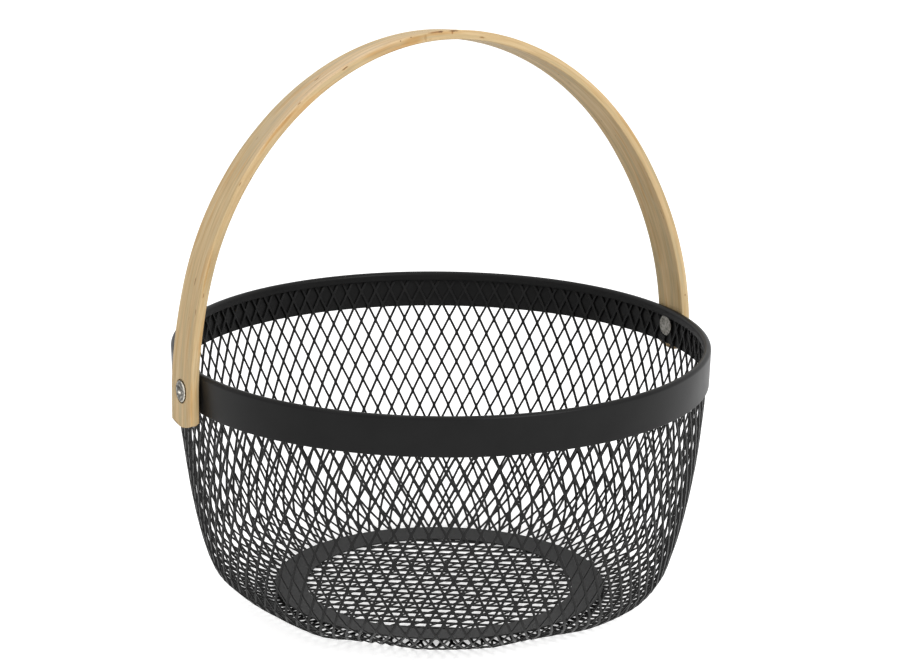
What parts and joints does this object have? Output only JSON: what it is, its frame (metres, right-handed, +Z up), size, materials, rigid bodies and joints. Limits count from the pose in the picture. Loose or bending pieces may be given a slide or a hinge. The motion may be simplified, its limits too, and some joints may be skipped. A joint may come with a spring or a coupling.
{
  "type": "basket",
  "caption": "Round wire-mesh storage basket with a folded rim band, a ringed mesh base and a bent wood handle on two rivets.",
  "frame": {"origin": "on the surface the basket stands on, under the centre of the bowl", "axes": "+X along the handle's pivot axis, toward the shorter of the handle's two ends, +Y across it, toward the side that the handle leans to, +Z up"},
  "size_m": [0.224, 0.215, 0.2275],
  "materials": {
    "rim_coat": "satin black powder coat",
    "mesh_coat": "satin black powder coat",
    "ring_coat": "satin black powder coat",
    "rivet_steel": "dull bright steel",
    "handle_wood": "bare pale wood, fine grain"
  },
  "bodies": {
    "root": {"rim_band": "rim_coat", "wall_mesh": "mesh_coat", "base_mesh": "mesh_coat", "base_ring": "ring_coat", "rivet_right": "rivet_steel", "rivet_left": "rivet_steel"},
    "handle": {"handle": "handle_wood"}
  },
  "joints": [
    {"name": "handle_swing", "type": "hinge", "parent": "root", "child": "handle", "pos_m": [0, 0, 0.0973], "axis": [1, 0, 0], "range_deg": [-127, 132]}
  ]
}
